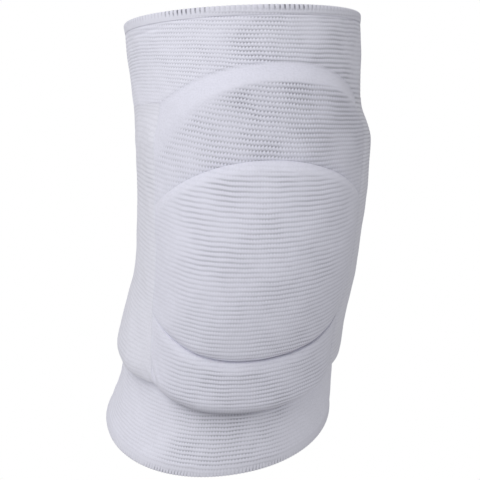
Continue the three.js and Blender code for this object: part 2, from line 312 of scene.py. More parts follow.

# The stitches along each rib, drawn in the materials. They lean to the right above SLANT_FROM,
# make the ribs zigzag, wander by STITCH_WANDER radians, and are faint low on the lower cuff.
# pitch is how far apart they are, strokes how strongly they show and valley how dark the painted
# shade in the valleys between ribs is, over their stitch gaps. The three shades are those of the
# gaps on the ribs' crests, of the specks in plain knit and of the needle holes.
STITCH_SLANT = 0.6
SLANT_FROM = 46.0
ZIGZAG = 1.15
STITCH_WANDER = 4.0
FAINT_STITCHES = (-80.0, -50.0)
STITCHES = {
    "sleeve": dict(pitch=1.45, strokes=0.5, valley=0.68),
    "upper_lobe": dict(pitch=1.35, strokes=0.55, valley=0.67),
    "kneecap_dome": dict(pitch=1.05, strokes=0.4, valley=0.6),
    "lower_lobe": dict(pitch=1.1, strokes=0.33, valley=0.6),
    "side": dict(pitch=1.2, strokes=0.2, valley=0.6),
}
HEM_STROKES = 0.45
CREST_SHADE = 0.25
SPECK_SHADE = 0.11
HOLE_SHADE = 0.18

# Colours of the yarn, and of the gaps between stitches, which also give the painted shade in
# the rib valleys, along the creases and below the lower lobe.
WHITE = (0.77, 0.77, 0.87, 1)
SLEEVE_WHITE = (0.825, 0.825, 0.925, 1)
SIDE_WHITE = (0.785, 0.785, 0.87, 1)
GAP_AND_SHADE = (0.31, 0.31, 0.365, 1)
HEM_WHITE = (0.75, 0.75, 0.84, 1)
HEM_GAP_AND_SHADE = (0.16, 0.16, 0.2, 1)
SHADED_YARN = 0.975

# The photograph's view: 0.53 mm for each of its 480 pixels at the object.
VIEW_AZIMUTH = -9.0
VIEW_ELEVATION = 9.0
VIEW_DISTANCE = 900.0
VIEW_TARGET = (-1.0, 0.0, 4.0)
VIEW_PIXELS = 480
PIXEL_SIZE = 0.53
SENSOR = 36.0

# The soft studio lights: where they stand, in degrees and metres, and their size and power.
# The sky and the pale floor, whose sizes are in metres, light the shadows.
LIGHTS = {
    "key": dict(azimuth=-48, elevation=48, distance=1.5, size=0.9, power=6.9),
    "front": dict(azimuth=-20, elevation=30, distance=1.6, size=0.5, power=3.5),
    "left": dict(azimuth=-70, elevation=5, distance=1.6, size=1.0, power=1.9),
}
SKY = 0.5
FLOOR_REACH = 40.0
FLOOR_LEVEL = -0.45
FLOOR_WHITE = (0.8, 0.8, 0.8, 1)


def smooth(x):
    """A smooth step from 0 at 0 to 1 at 1."""
    t = np.clip(x, 0, 1)
    return t * t * (3 - 2 * t)


def ramp(x, start, end):
    """A smooth step from 0 at start to 1 at end, which may be the smaller one."""
    return smooth((x - start) / (end - start))


def quarter(x):
    """A quarter circle, from 0 at its foot to 1 where it is level."""
    return np.sqrt(1 - (1 - np.clip(x, 0, 1)) ** 2)


def hill(x):
    """A soft bump of height 1 and half width 1."""
    return np.exp(-x * x)


def mix(a, b, t):
    """From a at t = 0 to b at t = 1."""
    return a + (b - a) * t


def signed_power(x, power):
    """A power of the size of x, with the sign of x."""
    return np.sign(x) * np.abs(x) ** power


def section_table():
    """The sections in millimetres and radians, and the slope of each column at each row."""
    rows = np.array(SECTIONS, float)
    rows[:, 0] *= np.where(rows[:, 0] < 0, -BOTTOM, TOP)
    scale = (KNEE_WIDTH, KNEE_DEPTH, KNEE_WIDTH / 2, KNEE_DEPTH, KNEE_DEPTH,
             radians(KNEE_BEND), radians(SIDE_TILT))
    values = rows[:, 1:] * scale
    steps = np.diff(rows[:, 0])[:, None]
    rises = np.diff(values, axis=0) / steps
    inner = (rises[1:] * steps[:-1] + rises[:-1] * steps[1:]) / (steps[1:] + steps[:-1])
    return rows[:, 0], values, np.vstack([rises[:1], inner, rises[-1:]])


HEIGHTS, VALUES, SLOPES = section_table()


def sections_at(w):
    """The columns of the tube's section at the heights w, by a smooth cubic."""
    i = np.clip(np.searchsorted(HEIGHTS, w, side="right") - 1, 0, len(HEIGHTS) - 2)
    span = HEIGHTS[i + 1] - HEIGHTS[i]
    t = ((w - HEIGHTS[i]) / span)[..., None]
    span = span[..., None]
    found = ((2 * t**3 - 3 * t**2 + 1) * VALUES[i] + (t**3 - 2 * t**2 + t) * span * SLOPES[i]
             + (3 * t**2 - 2 * t**3) * VALUES[i + 1] + (t**3 - t**2) * span * SLOPES[i + 1])
    return np.moveaxis(found, -1, 0)


def leg_points(phi, w, lift):
    """Points at the angles phi round the leg, at the heights w along it, and out from the
    tube's outer face by lift."""
    phi, w, lift = np.broadcast_arrays(*(np.asarray(v, float) for v in (phi, w, lift)))
    side, back, half, front, rear, lean, tilt = sections_at(w)
    depth = np.where(np.cos(phi) > 0, front, rear)
    x = half * signed_power(np.sin(phi), 2 / ROUNDNESS)
    y = -depth * signed_power(np.cos(phi), 2 / ROUNDNESS)
    normal_x = signed_power(x / half, ROUNDNESS - 1) / half
    normal_y = signed_power(y / depth, ROUNDNESS - 1) / depth
    out = lift / np.hypot(normal_x, normal_y)
    x, y = x + normal_x * out, y + normal_y * out
    return np.stack([
        side + x * np.cos(tilt) + y * np.sin(lean) * np.sin(tilt),
        back + y * np.cos(lean),
        w + x * np.sin(tilt) - y * np.sin(lean) * np.cos(tilt),
    ], axis=-1)


def round_leg(phi):
    """Millimetres round the leg from its front."""
    return phi * KNEE_WIDTH / 2


def seam_end(edge, side):
    """The end of an edge line at one side seam: the angle and the height."""
    name = "left" if side < 0 else "right"
    angle = side * radians(edge[name + "_spread"] * PAD_SPREAD)
    return angle, edge["at"] + edge[name] * edge["of"]


def seam_angles(edge):
    """The angles of an edge line's left end and its right end."""
    return [seam_end(edge, side)[0] for side in (-1, 1)]


def edge_height(edge, phi):
    """The height of an edge line at the angles phi."""
    apex = radians(edge["apex"] * PAD_SPREAD)
    (left_phi, left_w), (right_phi, right_w) = (seam_end(edge, side) for side in (-1, 1))
    end_phi = np.where(phi < apex, left_phi, right_phi)
    end_w = np.where(phi < apex, left_w, right_w)
    share = np.abs((phi - apex) / (end_phi - apex))
    power = np.where(phi < apex, edge["left_power"], edge["right_power"])
    return edge["at"] + (end_w - edge["at"]) * share**power


def knit_at(w, column):
    """One column of the table KNIT at the heights w."""
    return np.interp(w, [row["at"] for row in KNIT], [row[column] for row in KNIT])


def waves(phi, w, table):
    """The sum of a table's slanted waves."""
    u = round_leg(phi)
    return sum(height * np.sin(2 * pi * (u / length + w / rise) + start)
               for height, length, rise, start in table)


def rib_strength(phi, w):
    """How high the ribs stand: full at the front, low at the sides where the knit is flat."""
    angle = np.degrees(phi)
    half_turn = UPPER_TURN_OVER / 2
    middle = UPPER_TURN * ramp(w, DOME_ABOVE - half_turn, DOME_ABOVE + half_turn)
    around = np.abs(angle - middle)
    flat_from, flat_to = FLAT_SIDES
    front = 1 - ramp(around, flat_from / 2, flat_from)
    back = ramp(around, flat_to, flat_to + BACK_RIBS_OVER)
    sides = knit_at(w, "sides")
    strength = mix(sides, knit_at(w, "ribs"), front) + (BACK_RIBS - sides) * back
    on_cuff = ramp(w - PAD_BOTTOM, *FLAT_CUFF["above"])
    flat = ramp(angle, *FLAT_CUFF["start"]) * ramp(angle, *FLAT_CUFF["end"]) * on_cuff
    return strength * (1 + waves(phi, w, RIB_PATCHES)) * (1 - FLAT_CUFF["share"] * flat)


def knit_height(phi, w):
    """The height along the leg that each point of the knit had before it was pulled on. The ribs
    wander a little from their run."""
    u = RIB_REACH * np.tanh(round_leg(phi) / RIB_REACH)
    front = 1 - ramp(np.degrees(np.abs(phi)), *SINK_FADE)
    run = knit_at(w, "sink") * front * u - knit_at(w, "turn") * u * u / 2
    return w + knit_at(w, "gather") + run + waves(phi, w, WANDER)


def ribs(v):
    """The height of the knit's ribs, from -1 in a valley to 1 on a crest."""
    return np.cos(2 * pi * v / RIB_PITCH)


def fold(phi, w, height, angle, size, direction):
    """A small fold, 1 high, at a height and an angle. size is its length and its width, and
    direction the angle that it runs at."""
    u = round_leg(phi - radians(angle))
    v = w - height
    turn = radians(direction)
    along, across = u * cos(turn) + v * sin(turn), v * cos(turn) - u * sin(turn)
    return hill(along / size[0]) * hill(across / size[1])


def pucker(phi, w):
    """The gathered knit where the left seam meets the lower cuff."""
    height = seam_end(EDGES["bottom"], -1)[1] + PUCKER_ABOVE
    return fold(phi, w, height, **PUCKER) * waves(phi, w, PUCKER_WAVES)


def eased(steps, share=1.0):
    """Shares from 0 to 1, closer together at both ends by the share given."""
    even = np.linspace(0, 1, steps + 1)
    return mix(even, (1 - np.cos(pi * even)) / 2, share)


def crease_drop(distance, depth):
    """How far the foam is pulled down at a distance from a crease."""
    return depth * (1 - np.sin(pi / 2 * np.clip(distance / CREASE_ROUND, 0, 1)))


def seam_groove(to_seam, w, side):
    """The shallow groove along a side seam. The left one only starts below the kneecap."""
    if side < 0:
        depth = SEAM_DEPTH * LEFT_SEAM["share"] * ramp(w, 0, -LEFT_SEAM["over"])
        return depth * (1 - smooth(to_seam / LEFT_SEAM["width"]))
    return SEAM_DEPTH * (1 - smooth(to_seam / SEAM_ROUND))


def plain_beside_seam(to_seam, w, side):
    """Less ribbed beside the left seam low down, where the knit is gathered flat."""
    beside = (side < 0) * hill(to_seam / LEFT_PLAIN["width"])
    return 1 - LEFT_PLAIN["share"] * beside * ramp(w, *LEFT_PLAIN["heights"])


def eased_side(across):
    """How far a point is aside, from 0 at the middle to 1 at a seam, and nearly level beside
    the left one."""
    from_left = np.maximum(1 + across, 0)
    eased_left = 1 - from_left * from_left / (from_left + SEAM_EASE)
    left = np.clip(mix(-across, eased_left, ramp(-across, *LEVEL_FROM)), 0, 1)
    return np.where(across < 0, left, across)


def banded(above, band):
    """How high the ribs stand at a distance below a pad's upper edge, with its smooth band."""
    return mix(band["ribs"], 1, ramp(above, band["width"], band["width"] + band["fade"]))


def edge_shade(name, distance):
    """The painted shade on the knit at a distance from a lower edge."""
    shade, width = EDGE_SHADES[name]
    return shade * hill(distance / width)


def upper_foam(across, below, above):
    """The upper lobe: a flat slope at its top, and a crease where it meets the dome."""
    aside, left = eased_side(across), np.clip(-across, 0, 1)
    level = 1 - aside**LOBE_POWER
    foot = mix(DOME_CREASE_DEPTH * END_CREASE, LOBE_CREASE_DEPTH / 2, level)
    body = mix(SEAM_FOAM, UPPER_FOAM, level) - crease_drop(below, foot)
    slope = mix(TOP_SLOPE, SIDE_TOP_SLOPE, aside**2)
    band = UPPER_BAND + UPPER_CORNER * left**2
    ribbed = ramp(above, band, band + mix(*UPPER_BAND_FADES, left))
    ribbed = ribbed + UPPER_RIM_RIBS * (1 - smooth(above / UPPER_RIM_OVER))
    return dict(foam=body * smooth(above / slope), ribbed=ribbed,
                crease=edge_shade("upper", below), seamed=UPPER_SEAM_SHARE * (across > 0))


def dome_foam(across, below, above):
    """The kneecap dome: thickest in the middle, with a crease at both of its edges."""
    aside = eased_side(across)
    middle = 1 - np.abs((below - above) / (below + above)) ** 2
    level = 1 - aside**LOBE_POWER
    rim = mix(SEAM_FOAM, DOME_RIM_FOAM, level)
    bulge = (DOME_FOAM - DOME_RIM_FOAM) * middle * (1 - aside**BULGE_POWER)
    drop = crease_drop(np.minimum(below, above), DOME_CREASE_DEPTH) * mix(END_CREASE, 1, level)
    return dict(foam=rim + bulge - drop, ribbed=banded(above, DOME_BAND),
                crease=edge_shade("dome", below), seamed=np.ones(across.shape))


def shadow_strength(phi):
    """How deep the fold below the lower lobe is and how dark the painted shadow there is, greatest
    near the front of the leg.
    """
    return hill((phi - SHADOW_MIDDLE) / SHADOW_REACH)


def lip(share):
    """How far a lower edge hangs over the cuff, from its root at 0 to where it is level at 1."""
    return ramp(share, 0, LIP_LOWEST) * ramp(share, 1, LIP_LOWEST)


def lower_foam(across, below, above):
    """The lower lobe: a crease where it meets the dome, and a hanging lower edge with painted
    shadow on it.
    """
    aside = eased_side(across) ** LOBE_POWER
    drop = crease_drop(above, LOBE_CREASE_DEPTH) * mix(1, END_CREASE, aside)
    body = mix(LOWER_FOAM, SEAM_FOAM, aside) - drop
    share = below / BOTTOM_ROUND
    shadow = shadow_strength(across * seam_end(EDGES["bottom"], 1)[0])
    return dict(foam=body * quarter(share), ribbed=banded(above, LOWER_BAND),
                crease=edge_shade("lower", below) * shadow,
                seamed=np.ones(across.shape), sag=LIP * lip(share))


def pad_grid(lower, upper, rows, columns, shape):
    """A pad between two edge lines, as a grid of angles, heights, foam and knit fields."""
    lower, upper = EDGES[lower], EDGES[upper]
    share, up = np.meshgrid(eased(columns), eased(rows, ROW_EASE))
    across = 2 * share - 1
    low_end, high_end = (np.where(share < 0.5, *seam_angles(edge)) for edge in (lower, upper))
    low, high = low_end * np.abs(across), high_end * np.abs(across)
    lowest, highest = edge_height(lower, low), edge_height(upper, high)
    below, above = up * (highest - lowest), (1 - up) * (highest - lowest)
    reach = round_leg(np.abs(mix(low_end, high_end, up)))
    made = shape(across, below, above)
    to_seam = (1 - np.abs(across)) * reach
    gap = SEAM_GAP / 2
    phi = mix(low, high, up) * (1 - gap / reach)
    w = mix(lowest + gap, highest - gap, up)
    grooves = [seam_groove(to_seam, w, side) for side in (-1, 1)]
    groove = made["seamed"] * np.where(across < 0, *grooves)
    side = np.where(share < 0.5, -1, 1)
    ribbed = made["ribbed"] * rib_strength(phi, w) * plain_beside_seam(to_seam, w, side)
    return dict(phi=phi, w=w - made.get("sag", 0), foam=made["foam"] * (1 - groove / SEAM_FOAM),
                ribbed=ribbed, crease=made["crease"],
                to_seam=np.where(across > 0, to_seam, FAR))


def panel_grid(side, foam, low_foam, drop, stretches, columns):
    """A side panel from the pads' seam round to the back of the leg, where it thins out."""
    seam_phi, seam_w = [np.array([v]) for v in seam_end(EDGES["bottom"], side)]
    for lower, upper, rows in stretches:
        (phi_low, w_low), (phi_high, w_high) = (seam_end(EDGES[n], side) for n in (lower, upper))
        up = eased(rows, 0)[1:]
        seam_phi = np.append(seam_phi, mix(phi_low, phi_high, up))
        seam_w = np.append(seam_w, mix(w_low, w_high, up))
    across = eased(columns, COLUMN_EASE)
    if side < 0:
        across = across[::-1]
    across, place_w = np.meshgrid(across, seam_w)
    place_phi = np.broadcast_to(seam_phi[:, None], across.shape)
    bottom, top = seam_w[0], seam_w[-1]
    up = (place_w - bottom) / (top - bottom)
    sink = drop * LOWER_LOBE * smooth(across / SUNK)
    phi = mix(place_phi + side * SEAM_GAP / KNEE_WIDTH, side * radians(SIDE_SPREAD), across)
    level = mix(low_foam, foam, smooth(up / LOW_FOAM_REACH))
    rise = mix(SEAM_FOAM, level, smooth(across / SEAM_BLEND))
    fade = 1 - ramp(across, FADE_START, 1)
    to_seam = round_leg(np.abs(phi - place_phi))
    groove = seam_groove(to_seam, place_w, side)
    w = place_w - sink * (1 - up)
    to_edge = w - bottom + sink
    foot, head = quarter(to_edge / SIDE_BOTTOM_ROUND), smooth((top - w) / SIDE_TOP_SLOPE)
    below_slope = ramp(top - w, SIDE_TOP_SLOPE, 2 * SIDE_TOP_SLOPE)
    ribbed = rib_strength(phi, w) * plain_beside_seam(to_seam, w, side)
    if side < 0:
        ribbed = ribbed * mix(LEFT_PANEL_RIBS, 1, below_slope)
    sag = SIDE_LIP * lip(to_edge / SIDE_BOTTOM_ROUND) * fade
    return dict(phi=phi, w=w - sag, foam=(rise * fade - groove) * foot * head, ribbed=ribbed,
                crease=edge_shade("side", to_edge) * fade,
                to_seam=np.where(side > 0, to_seam, FAR))


def linked(name, data):
    """A new object of the scene with the data given."""
    made = bpy.data.objects.new(name, data)
    bpy.context.collection.objects.link(made)
    return made


def add_mesh(name, points, quads, phi, v, fields, material):
    """A smooth mesh object in metres, with the angles phi and the heights v as its place in the
    knit, and its named fields."""
    mesh = bpy.data.meshes.new(name)
    points, uv = points.reshape(-1, 3), np.stack([round_leg(phi).ravel(), v.ravel()], axis=-1)
    mesh.vertices.add(len(points))
    mesh.vertices.foreach_set("co", (points * MM).astype(np.float32).ravel())
    mesh.loops.add(quads.size)
    mesh.loops.foreach_set("vertex_index", quads.astype(np.int32).ravel())
    mesh.polygons.add(len(quads))
    mesh.polygons.foreach_set("loop_start", np.arange(0, quads.size, 4, dtype=np.int32))
    mesh.update(calc_edges=True)
    mesh.validate()
    layer = mesh.uv_layers.new(name="knit")
    layer.uv.foreach_set("vector", uv[quads.ravel()].astype(np.float32).ravel())
    for field, values in fields.items():
        attribute = mesh.attributes.new(field, "FLOAT", "POINT")
        attribute.data.foreach_set("value", values.astype(np.float32).ravel())
    mesh.shade_smooth()
    mesh.materials.append(material)
    return linked(name, mesh)


def grid_quads(rows, columns, closed=False):
    """The faces of a grid of rows by columns points, whose rows may close on themselves."""
    i = np.arange(rows - 1)[:, None] * columns
    j = np.arange(columns if closed else columns - 1)[None, :]
    after = (j + 1) % columns
    corners = [i + j, i + after, i + columns + after, i + columns + j]
    return np.stack(corners, axis=-1).reshape(-1, 4)


def ring_quads(rows, columns):
    """The faces of a grid that closes on itself both ways."""
    first = np.arange(columns)
    last = (rows - 1) * columns + first
    seam = np.stack([last, np.roll(last, -1), np.roll(first, -1), first], axis=-1)
    return np.vstack([grid_quads(rows, columns, closed=True), seam])


def skirted(grid):
    """The grid with a row or column added all round, straight below its border."""
    padded = {name: np.pad(values, 1, mode="edge") for name, values in grid.items()}
    border = np.ones(padded["foam"].shape, bool)
    border[1:-1, 1:-1] = False
    for name in ("foam", "ribbed"):
        padded[name] = np.where(border, 0.0, padded[name])
    return padded


def cushion(name, front, back):
    """A coarse closed form of a pad, held at its border and its back, that air can swell."""
    rows, columns = front.shape[:2]
    count = rows * columns
    sheet = grid_quads(rows, columns)
    index = np.arange(count).reshape(rows, columns)
    rim = np.concatenate([index[0], index[1:, -1], index[-1, -2::-1], index[-2:0:-1, 0]])
    walls = np.stack([rim, rim + count, np.roll(rim, -1) + count, np.roll(rim, -1)], axis=-1)
    faces = np.vstack([sheet, sheet[:, ::-1] + count, walls])
    points = np.concatenate([front.reshape(-1, 3), back.reshape(-1, 3)]) * MM
    mesh = bpy.data.meshes.new(name)
    mesh.from_pydata(points.tolist(), [], faces.tolist())
    body = linked(name, mesh)
    held = body.vertex_groups.new(name="held")
    held.add([int(i) for i in np.concatenate([rim, np.arange(count, 2 * count)])], 1.0, "REPLACE")
    cloth = body.modifiers.new("air", "CLOTH")
    cloth.settings.vertex_group_mass = "held"
    cloth.settings.use_pressure = True
    cloth.settings.uniform_pressure_force = SWELL_PRESSURE
    cloth.settings.effector_weights.gravity = 0
    cloth.point_cache.frame_start = 1
    cloth.point_cache.frame_end = SWELL_STEPS
    return body


def spline_weights(count, knot_count):
    """The shares in which evenly placed knots make a smooth curve through count points."""
    places, knots = np.arange(count) / (count - 1), np.linspace(0, 1, knot_count)
    near = 1 - np.abs(places[:, None] - knots[None, :]) / (knots[1] - knots[0]) / 2
    weights = smooth(near)
    return weights / weights.sum(axis=1, keepdims=True)


def swell(grids):
    """The move of each grid point, as air swells all the pads together."""
    bodies = {}
    for name, grid in grids.items():
        lengths = np.ptp(grid["w"]), round_leg(np.ptp(grid["phi"]))
        counts = [round(length / SWELL_GRID) + 2 for length in lengths]
        picks = [np.linspace(0, size - 1, count).round().astype(int)
                 for size, count in zip(grid["phi"].shape, counts)]
        at = np.ix_(*picks)
        phi, w, foam = grid["phi"][at], grid["w"][at], np.maximum(grid["foam"][at], SWELL_THINNEST)
        front, back = leg_points(phi, w, foam), leg_points(phi, w, 0)
        bodies[name] = cushion("air_" + name, front, back), front
    scene = bpy.context.scene
    for step in range(1, SWELL_STEPS + 1):
        scene.frame_set(step)
    depsgraph = bpy.context.evaluated_depsgraph_get()
    moves = {}
    for name, (body, front) in bodies.items():
        found = np.empty(len(body.data.vertices) * 3, np.float32)
        body.evaluated_get(depsgraph).data.vertices.foreach_get("co", found)
        move = found[: front.size].reshape(front.shape) / MM - front
        length = np.linalg.norm(move, axis=-1, keepdims=True)
        move *= SWELL_MOST * np.tanh(length / SWELL_MOST) / np.maximum(length, 1e-6)
        down, over = (spline_weights(size, count)
                      for size, count in zip(grids[name]["phi"].shape, front.shape))
        moves[name] = np.einsum("ri,ijk,cj->rck", down, move, over)
        mesh = body.data
        bpy.data.objects.remove(body)
        bpy.data.meshes.remove(mesh)
    scene.frame_set(1)
    return moves


def slab_piece(name, grid, move, material):
    """A padded piece's skin: the grid lifted by its foam and its ribs, with closed edges."""
    grid = skirted(grid)
    move = np.pad(move, ((1, 1), (1, 1), (0, 0)), mode="edge")
    phi, w = grid["phi"], grid["w"]
    thick = smooth(grid["foam"] / RELIEF_FOAM)
    behind = ramp(np.degrees(np.abs(phi)), SIDE_SPREAD - BACK_EDGE_OVER, SIDE_SPREAD)
    v = knit_height(phi, w)
    relief = RIB_HEIGHT * grid["ribbed"] * ribs(v) + waves(phi, w, UNEVENNESS) + pucker(phi, w)
    lift = SKIN + np.maximum(grid["foam"], 0) + relief * thick - BACK_EDGE_DIP * behind
    points = leg_points(phi, w, lift) + move * thick[..., None]
    # The crease field is painted shade along the lower edges of the pads and the panels.
    fields = {key: grid[key] for key in ("ribbed", "to_seam", "crease")}
    return add_mesh(name, points, grid_quads(*phi.shape), phi, v, fields, material)


def under_pads(phi, w):
    """1 where a pad or a side panel covers the tube, and 0 where the tube shows."""
    top, bottom = EDGES["top"], EDGES["bottom"]
    top_w = edge_height(top, np.clip(phi, *seam_angles(top)))
    low = np.clip(phi, *seam_angles(bottom))
    bottom_w = edge_height(bottom, low)
    for panel in PANELS.values():
        to_back = np.clip((panel["side"] * phi - np.abs(low)) / PANEL_REACH, 0, 1)
        sink = panel["drop"] * LOWER_LOBE * smooth(to_back)
        bottom_w = bottom_w - np.where(panel["side"] * phi > 0, sink, 0)
    last = SIDE_SPREAD - COVER_FADE_BEHIND
    around = ramp(np.degrees(np.abs(phi)), last, last - COVER_FADE_BEHIND)
    return smooth((top_w - w) / COVER_FADE) * smooth((w - bottom_w) / COVER_FADE) * around


def tube_rows():
    """The heights of the tube's outer rows, close enough for the ribs where they show, and of
    its inner rows."""
    low, high = BOTTOM + WELT + SEAM_GAP / 2, TOP - WELT - SEAM_GAP / 2
    fine, coarse = RIB_PITCH / ROWS_PER_RIB, RIB_PITCH / HIDDEN_ROWS_PER_RIB
    coarse_from, coarse_to = PAD_BOTTOM + COARSE_ABOVE_BOTTOM, PAD_TOP - COARSE_BELOW_TOP
    outer = np.concatenate([[low, low + END_ROW], np.arange(low, coarse_from, fine)[1:],
                            np.arange(coarse_from, coarse_to, coarse),
                            np.arange(coarse_to, high - ROW_LEAST, fine), [high - END_ROW, high]])
    return outer, np.linspace(high, low, INNER_ROWS)


def back_folds(phi, w):
    """The shallow folds across the back of the knee."""
    behind = smooth((np.abs(phi) - radians(SIDE_SPREAD)) / BACK_FOLD_START)
    at_knee = hill((w - BACK_FOLDS_AT) / BACK_FOLDS_REACH)
    return BACK_FOLD * behind * at_knee * np.sin(2 * pi * w / BACK_FOLDS_APART)


def tube_piece(name, material, around=200):
    """The knitted tube from hem to hem, ribbed outside and plain inside."""
    outer_w, inner_w = tube_rows()
    low, high = outer_w[0], outer_w[-1]
    angles = np.linspace(-pi, pi, around, endpoint=False)
    phi, w = np.meshgrid(angles, np.concatenate([outer_w, inner_w]))
    outside = (np.arange(len(w)) < len(outer_w))[:, None]
    shown = 1 - under_pads(phi, w)
    left = ramp(np.degrees(phi), *CALM_LEFT)
    ribbed = np.where(outside, shown * rib_strength(phi, w), INNER_RIBS)
    ribbed = ribbed * (1 - CALM_SHARE * left * hill((w - CALM_AT) / CALM_REACH))
    v = knit_height(phi, w)
    # Below the lower lobe the tube sinks into a notch that also holds painted shadow.
    to_lobe = edge_height(EDGES["bottom"], np.clip(phi, -SHADOW_END, SHADOW_END)) - w
    notch = shadow_strength(phi) * hill((np.maximum(to_lobe, 0) / NOTCH_HEIGHT) ** 2)
    notch = notch * (outside & (w < 0))
    tuck = TUCK * (1 - smooth((high - w) / TUCK_HEIGHT))
    crinkle = CRINKLE_DEPTH * fold(phi, w, high - CRINKLE_BELOW, **CRINKLE)
    calm = smooth(np.minimum(w - low, high - w) / HEM_EASE)
    relief = RIB_HEIGHT * ribbed * ribs(v) + waves(phi, w, UNEVENNESS) * calm
    outer = (relief - crinkle + back_folds(phi, w)) * shown
    outer = outer - tuck - COVERED_DEPTH * (1 - shown) - NOTCH_DEPTH * notch
    points = leg_points(phi, w, np.where(outside, outer, -KNIT_WALL))
    # A painted shade line in the fold under the upper hem, darker on the left.
    hem_shade_line = HEM_LINE * hill((high - w) / HEM_LINE_WIDTH) * mix(HEM_LINE_LEAST, 1, left)
    fields = dict(ribbed=ribbed, to_seam=np.full(w.shape, FAR),
                  crease=hem_shade_line + NOTCH_SHADE * notch)
    return add_mesh(name, points, ring_quads(len(w), around), phi, v, fields, material)


def hem_piece(name, low, high, rim, pitch, material, around=1100, sides=16):
    """A turned hem: a rounded ring with the ridges of its overlock stitches, sharp where it
    meets the tube and round at its free edge."""
    turn = np.linspace(0, 2 * pi, sides, endpoint=False)
    angles = np.linspace(-pi, pi, around, endpoint=False)
    phi, turn = np.meshgrid(angles, turn)
    ridge = np.cos(round(pi * KNEE_WIDTH / pitch) * phi)
    gap = SEAM_GAP / 2
    low, high = (low + gap, high) if rim > 0 else (low, high - gap)
    power = np.where(np.cos(turn) * rim > 0, SHARP_EDGE, ROUND_EDGE)
    height, outward = -signed_power(np.cos(turn), power), signed_power(np.sin(turn), power)
    outer = np.clip(outward, 0, 1)
    to_rim = np.clip(0.5 + 0.5 * rim * height, 0, 1)
    w = (low + high) / 2 + (high - low) / 2 * height + OVERLOCK_TEETH * ridge * to_rim**3 * rim
    v = knit_height(phi, w)
    bare = ramp(np.degrees(phi), *BARE_LEFT) if rim > 0 else 0
    ribbed = rib_strength(phi, w) * (1 - ramp(to_rim, *HEM_RIBS_END)) * (1 - bare)
    half_wall = KNIT_WALL / 2
    lift = -half_wall + (half_wall + WELT_BULGE * smooth(to_rim / BULGE_FULL)) * outward
    lift = lift + OVERLOCK_HEIGHT * ridge * outer * smooth(to_rim / OVERLOCK_FULL)
    lift = lift + RIB_HEIGHT * ribbed * ribs(v) * outer
    stitched = to_rim * np.clip(outward + OVERLOCK_INSIDE, 0, 1)
    fields = dict(ribbed=ribbed, to_rim=stitched, ridge=ridge)
    points = leg_points(phi, w, lift)
    return add_mesh(name, points, ring_quads(sides, around), phi, v, fields, material)


class Nodes:
    """Short calls that add shader nodes and link them."""

    def __init__(self, material):
        material.use_nodes = True
        self.tree = material.node_tree
        self.shader = self.tree.nodes["Principled BSDF"]

    def add(self, kind, values=(), **settings):
        node = self.tree.nodes.new(kind)
        for name, value in settings.items():
            setattr(node, name, value)
        for socket, value in zip(node.inputs, values):
            self.put(socket, value)
        return node

    def put(self, socket, value):
        """Link a socket to another node's output, or set it to a constant."""
        if isinstance(value, bpy.types.NodeSocket):
            self.tree.links.new(value, socket)
        elif value is not None:
            socket.default_value = value

    def math(self, operation, *values):
        return self.add("ShaderNodeMath", values, operation=operation).outputs[0]

    def times(self, *values):
        product = values[0]
        for value in values[1:]:
            product = self.math("MULTIPLY", product, value)
        return product

    def wave(self, kind, place, length):
        return self.math(kind, self.times(place, 2 * pi / length))

    def distance(self, a, b):
        return self.math("ABSOLUTE", self.math("SUBTRACT", a, b))

    def field(self, name):
        return self.add("ShaderNodeAttribute", attribute_name=name).outputs["Fac"]

    def knit_place(self):
        """The place in the knit in millimetres, as a vector, round the leg and along it."""
        place = self.add("ShaderNodeUVMap", uv_map="knit").outputs[0]
        split = self.add("ShaderNodeSeparateXYZ", (place,))
        return place, split.outputs[0], split.outputs[1]

    def noise(self, place, scale, detail=2.0, rough=0.5):
        return self.add("ShaderNodeTexNoise", (place, None, scale, detail, rough)).outputs[0]

    def range(self, value, low, high, to_low=0.0, to_high=1.0):
        """A smooth step from to_low, where value is low, to to_high, where it is high."""
        node = self.add("ShaderNodeMapRange", (value, low, high, to_low, to_high))
        node.interpolation_type = "SMOOTHSTEP"
        return node.outputs[0]

    def blend(self, factor, a, b):
        node = self.add("ShaderNodeMix", data_type="RGBA")
        for index, value in ((0, factor), (6, a), (7, b)):
            self.put(node.inputs[index], value)
        return node.outputs[2]

    def bump(self, height, distance, strength):
        node = self.add("ShaderNodeBump")
        node.inputs["Strength"].default_value = strength
        node.inputs["Distance"].default_value = distance * MM
        self.put(node.inputs["Height"], height)
        self.put(self.shader.inputs["Normal"], node.outputs[0])

    def matt(self, fuzz):
        """The finish that all the knit shares: rough, with a little sheen from its fuzz."""
        roughness = self.range(fuzz, 0.2, 0.8, to_low=0.86, to_high=0.96)
        self.put(self.shader.inputs["Roughness"], roughness)
        self.shader.inputs["Specular IOR Level"].default_value = 0.2
        self.shader.inputs["Sheen Weight"].default_value = 0.15
        self.shader.inputs["Sheen Roughness"].default_value = 0.5


def stitches(n, place, u, v, pitch, strokes):
    """Where the knit is dark, from 0 to 1: gaps between the stitches, most of them in the valleys
    between ribs, with painted shade over the whole valleys. The second value is 1 in every gap
    along a rib."""
    leaning = n.math("MAXIMUM", n.math("SUBTRACT", v, SLANT_FROM), 0)
    turn = n.math("SUBTRACT", n.times(u, 2 * pi / pitch),
                  n.times(leaning, 2 * pi * STITCH_SLANT / RIB_PITCH))
    turn = n.math("ADD", turn, n.times(n.noise(place, scale=0.35), STITCH_WANDER))
    full = n.range(v, *FAINT_STITCHES, to_low=0.45)
    wave = n.times(n.math("SINE", turn), full)
    gaps = n.range(wave, -0.9, 0.9)
    rib = n.wave("COSINE", n.math("MULTIPLY_ADD", wave, ZIGZAG * strokes**2, v), RIB_PITCH)
    in_valley = n.range(rib, 0.3, -0.95)
    # Painted shade fills each valley, darkest in its stitch gaps.
    row = n.times(in_valley, n.range(gaps, 0, 1, to_low=1 - strokes))
    crest = n.times(n.math("SUBTRACT", 1, in_valley), gaps, CREST_SHADE * strokes)
    return n.math("ADD", row, crest), gaps


